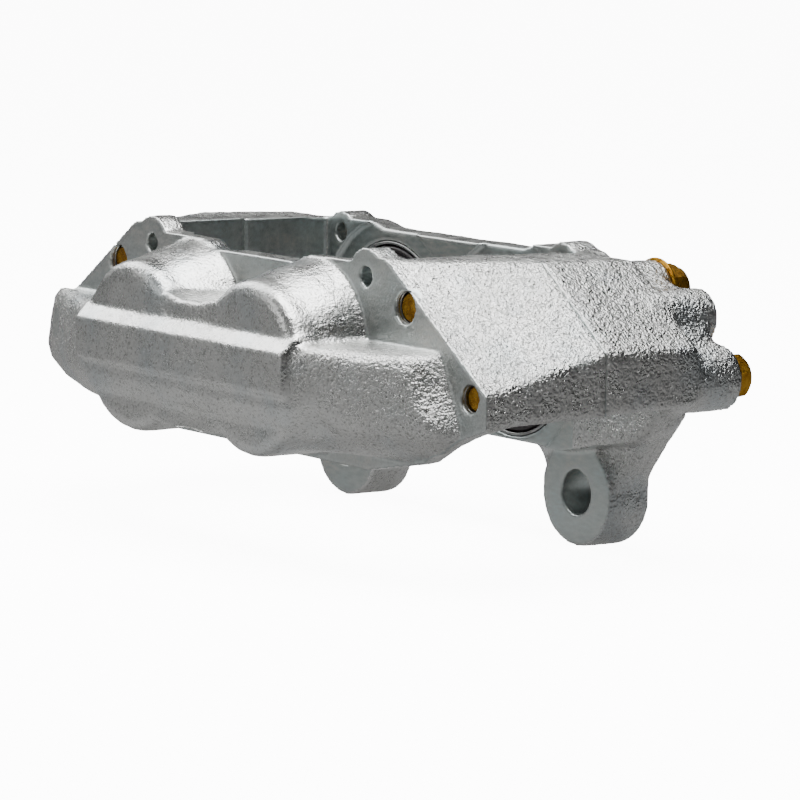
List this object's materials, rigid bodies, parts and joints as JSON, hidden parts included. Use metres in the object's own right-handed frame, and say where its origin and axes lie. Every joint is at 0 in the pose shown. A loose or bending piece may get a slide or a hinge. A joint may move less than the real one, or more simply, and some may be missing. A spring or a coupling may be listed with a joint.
{
  "type": "brake caliper",
  "caption": "Fixed two-piece disc brake caliper with opposed hydraulic pistons, an open pad window and two mounting lugs on the inboard half.",
  "frame": {"origin": "centre of the footprint, level with the bottom of the mounting lugs", "axes": "+X along the caliper, +Y along the disc axis towards the vehicle, +Z radially outward from the disc"},
  "size_m": [0.2468, 0.1488, 0.0978],
  "materials": {
    "zinc_cast": "bright zinc plate over rough sand casting",
    "bolt_gold": "yellow zinc plate",
    "piston_chrome": "ground and plated",
    "plain_steel": "plain machined",
    "rubber": "moulded, satin"
  },
  "bodies": {
    "caliper_body": {"outboard_half": "zinc_cast", "inboard_half": "zinc_cast", "seal_outboard_left": "rubber", "boot_outboard_left": "rubber", "boot_ring_outboard_left": "plain_steel", "seal_outboard_right": "rubber", "boot_outboard_right": "rubber", "boot_ring_outboard_right": "plain_steel", "seal_inboard_left": "rubber", "boot_inboard_left": "rubber", "boot_ring_inboard_left": "plain_steel", "seal_inboard_right": "rubber", "boot_inboard_right": "rubber", "boot_ring_inboard_right": "plain_steel", "bolt_upper_left": "bolt_gold", "bolt_lower_left": "bolt_gold", "passage_oring_left": "rubber", "passage_plug_left": "plain_steel", "bolt_upper_right": "bolt_gold", "bolt_lower_right": "bolt_gold", "passage_oring_right": "rubber", "passage_plug_right": "plain_steel"},
    "piston_outboard_left": {"piston_outboard_left": "piston_chrome"},
    "piston_outboard_right": {"piston_outboard_right": "piston_chrome"},
    "piston_inboard_left": {"piston_inboard_left": "piston_chrome"},
    "piston_inboard_right": {"piston_inboard_right": "piston_chrome"},
    "bleeder_screw": {"bleeder_screw": "plain_steel"},
    "bleeder_cap": {"bleeder_cap": "rubber"}
  },
  "joints": [
    {"name": "piston_outboard_left_slide", "type": "slide", "parent": "caliper_body", "child": "piston_outboard_left", "axis": [0, 1, 0], "range_m": [0, 0.01]},
    {"name": "piston_outboard_right_slide", "type": "slide", "parent": "caliper_body", "child": "piston_outboard_right", "axis": [0, 1, 0], "range_m": [0, 0.01]},
    {"name": "piston_inboard_left_slide", "type": "slide", "parent": "caliper_body", "child": "piston_inboard_left", "axis": [0, -1, 0], "range_m": [0, 0.01]},
    {"name": "piston_inboard_right_slide", "type": "slide", "parent": "caliper_body", "child": "piston_inboard_right", "axis": [0, -1, 0], "range_m": [0, 0.01]},
    {"name": "bleeder_turn", "type": "hinge", "parent": "caliper_body", "child": "bleeder_screw", "pos_m": [0, 0.058, 0.076], "axis": [0, 1, 0], "range_deg": [0, 360]},
    {"name": "bleeder_cap_pull", "type": "slide", "parent": "bleeder_screw", "child": "bleeder_cap", "axis": [0, 1, 0], "range_m": [0, 0.02]}
  ]
}
